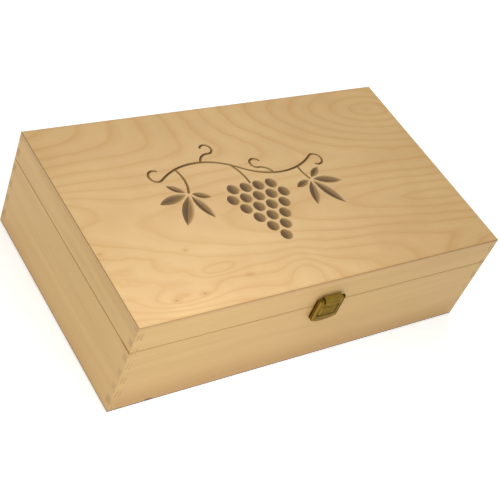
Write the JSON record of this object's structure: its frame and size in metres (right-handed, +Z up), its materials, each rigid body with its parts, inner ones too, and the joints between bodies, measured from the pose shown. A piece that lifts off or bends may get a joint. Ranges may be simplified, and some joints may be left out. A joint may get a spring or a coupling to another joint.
{
  "type": "hinged wooden wine box",
  "caption": "Box-jointed wooden presentation case for wine bottles, with a hinged plywood lid, butt hinges behind and a brass toggle latch in front.",
  "frame": {"origin": "centre of the bottom face, on the surface the box stands on", "axes": "+X along the length, to the right seen from the latch side; -Y towards the latch side; +Z up"},
  "size_m": [0.35, 0.2095, 0.0964],
  "materials": {
    "birch_board": "sanded, clear satin varnish",
    "birch_plywood": "sanded, clear satin varnish, burnt carving",
    "antique_brass": "antique brass plating, satin"
  },
  "bodies": {
    "base": {"base_front_board": "birch_board", "base_back_board": "birch_board", "base_left_board": "birch_board", "base_right_board": "birch_board", "base_bottom_panel": "birch_plywood", "left_hinge_base_leaf": "antique_brass", "left_hinge_pin": "antique_brass", "right_hinge_base_leaf": "antique_brass", "right_hinge_pin": "antique_brass", "hinge_base_nails": "antique_brass", "latch_base_plate": "antique_brass", "latch_base_nails": "antique_brass", "latch_lever_pin": "antique_brass"},
    "lid": {"lid_front_board": "birch_board", "lid_back_board": "birch_board", "lid_left_board": "birch_board", "lid_right_board": "birch_board", "lid_top_panel": "birch_plywood", "left_hinge_lid_leaf": "antique_brass", "right_hinge_lid_leaf": "antique_brass", "hinge_lid_nails": "antique_brass", "latch_strike": "antique_brass", "latch_strike_nails": "antique_brass"},
    "lever": {"latch_lever": "antique_brass", "latch_hook_pin": "antique_brass"},
    "hook": {"latch_hook": "antique_brass"}
  },
  "joints": [
    {"name": "lid_hinge", "type": "hinge", "parent": "base", "child": "lid", "pos_m": [0, 0.102, 0.0693], "axis": [-1, 0, 0], "range_deg": [0, 180]},
    {"name": "lever_pivot", "type": "hinge", "parent": "base", "child": "lever", "pos_m": [0, -0.1029, 0.0766], "axis": [-1, 0, 0], "range_deg": [0, 90]},
    {"name": "hook_pivot", "type": "hinge", "parent": "lever", "child": "hook", "pos_m": [0, -0.1046, 0.0721], "axis": [-1, 0, 0], "range_deg": [-67.5, 0]}
  ],
  "couplings": [
    {"joint": "hook_pivot", "follows": "lever_pivot", "ratio": -0.75}
  ]
}
